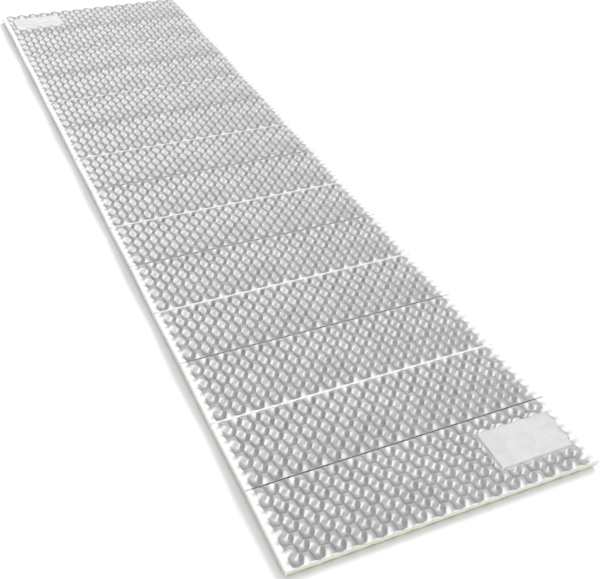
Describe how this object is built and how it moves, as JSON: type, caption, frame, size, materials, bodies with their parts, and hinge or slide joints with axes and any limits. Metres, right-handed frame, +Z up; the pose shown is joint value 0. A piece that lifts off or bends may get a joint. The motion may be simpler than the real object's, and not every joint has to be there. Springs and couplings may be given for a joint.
{
  "type": "foam sleeping pad",
  "caption": "Accordion-folding closed-cell foam sleeping pad with an egg-crate surface, a silver film on top and living hinges between its panels.",
  "frame": {"origin": "centre of the laid-out pad's footprint, on the floor", "axes": "+X across the pad, +Y along its length towards the far end, +Z up; the silver side faces +Z"},
  "size_m": [0.51, 1.833, 0.0236],
  "materials": {
    "foam": "matt pale yellow-green closed-cell foam",
    "film": "satin aluminised film, embossed with the foam",
    "fold": "pressed foam at the folds, pale"
  },
  "bodies": {
    "panel_13": {"foam_panel_13": "foam", "fold_12": "fold", "fold_13": "fold"},
    "panel_14": {"foam_panel_14": "foam", "label_patch_far": "film"},
    "panel_12": {"foam_panel_12": "foam", "fold_11": "fold"},
    "panel_11": {"foam_panel_11": "foam", "fold_10": "fold"},
    "panel_10": {"foam_panel_10": "foam", "fold_09": "fold"},
    "panel_09": {"foam_panel_09": "foam", "fold_08": "fold"},
    "panel_08": {"foam_panel_08": "foam", "fold_07": "fold"},
    "panel_07": {"foam_panel_07": "foam", "fold_06": "fold"},
    "panel_06": {"foam_panel_06": "foam", "fold_05": "fold"},
    "panel_05": {"foam_panel_05": "foam", "fold_04": "fold"},
    "panel_04": {"foam_panel_04": "foam", "fold_03": "fold"},
    "panel_03": {"foam_panel_03": "foam", "fold_02": "fold"},
    "panel_02": {"foam_panel_02": "foam", "fold_01": "fold"},
    "panel_01": {"foam_panel_01": "foam", "label_patch_near": "film"}
  },
  "joints": [
    {"name": "fold_13", "type": "hinge", "parent": "panel_13", "child": "panel_14", "pos_m": [0, 0.78575, 0.00878], "axis": [-1, 0, 0], "range_deg": [-3.51, 176.49]},
    {"name": "fold_12", "type": "hinge", "parent": "panel_13", "child": "panel_12", "pos_m": [0, 0.6548, 0.01478], "axis": [-1, 0, 0], "range_deg": [-3.51, 173.5]},
    {"name": "fold_11", "type": "hinge", "parent": "panel_12", "child": "panel_11", "pos_m": [0, 0.52384, 0.00878], "axis": [1, 0, 0], "range_deg": [-3.51, 176.49]},
    {"name": "fold_10", "type": "hinge", "parent": "panel_11", "child": "panel_10", "pos_m": [0, 0.39288, 0.01478], "axis": [-1, 0, 0], "range_deg": [-3.51, 176.49]},
    {"name": "fold_09", "type": "hinge", "parent": "panel_10", "child": "panel_09", "pos_m": [0, 0.26192, 0.00878], "axis": [1, 0, 0], "range_deg": [-3.51, 176.49]},
    {"name": "fold_08", "type": "hinge", "parent": "panel_09", "child": "panel_08", "pos_m": [0, 0.13096, 0.01478], "axis": [-1, 0, 0], "range_deg": [-3.51, 176.49]},
    {"name": "fold_07", "type": "hinge", "parent": "panel_08", "child": "panel_07", "pos_m": [0, 0, 0.00878], "axis": [1, 0, 0], "range_deg": [-3.51, 176.49]},
    {"name": "fold_06", "type": "hinge", "parent": "panel_07", "child": "panel_06", "pos_m": [0, -0.13096, 0.01478], "axis": [-1, 0, 0], "range_deg": [-3.51, 176.49]},
    {"name": "fold_05", "type": "hinge", "parent": "panel_06", "child": "panel_05", "pos_m": [0, -0.26192, 0.00878], "axis": [1, 0, 0], "range_deg": [-3.51, 176.49]},
    {"name": "fold_04", "type": "hinge", "parent": "panel_05", "child": "panel_04", "pos_m": [0, -0.39288, 0.01478], "axis": [-1, 0, 0], "range_deg": [-3.51, 176.49]},
    {"name": "fold_03", "type": "hinge", "parent": "panel_04", "child": "panel_03", "pos_m": [0, -0.52384, 0.00878], "axis": [1, 0, 0], "range_deg": [-3.51, 176.49]},
    {"name": "fold_02", "type": "hinge", "parent": "panel_03", "child": "panel_02", "pos_m": [0, -0.6548, 0.01478], "axis": [-1, 0, 0], "range_deg": [-3.51, 173.5]},
    {"name": "fold_01", "type": "hinge", "parent": "panel_02", "child": "panel_01", "pos_m": [0, -0.78575, 0.00878], "axis": [1, 0, 0], "range_deg": [-3.51, 176.49]}
  ]
}
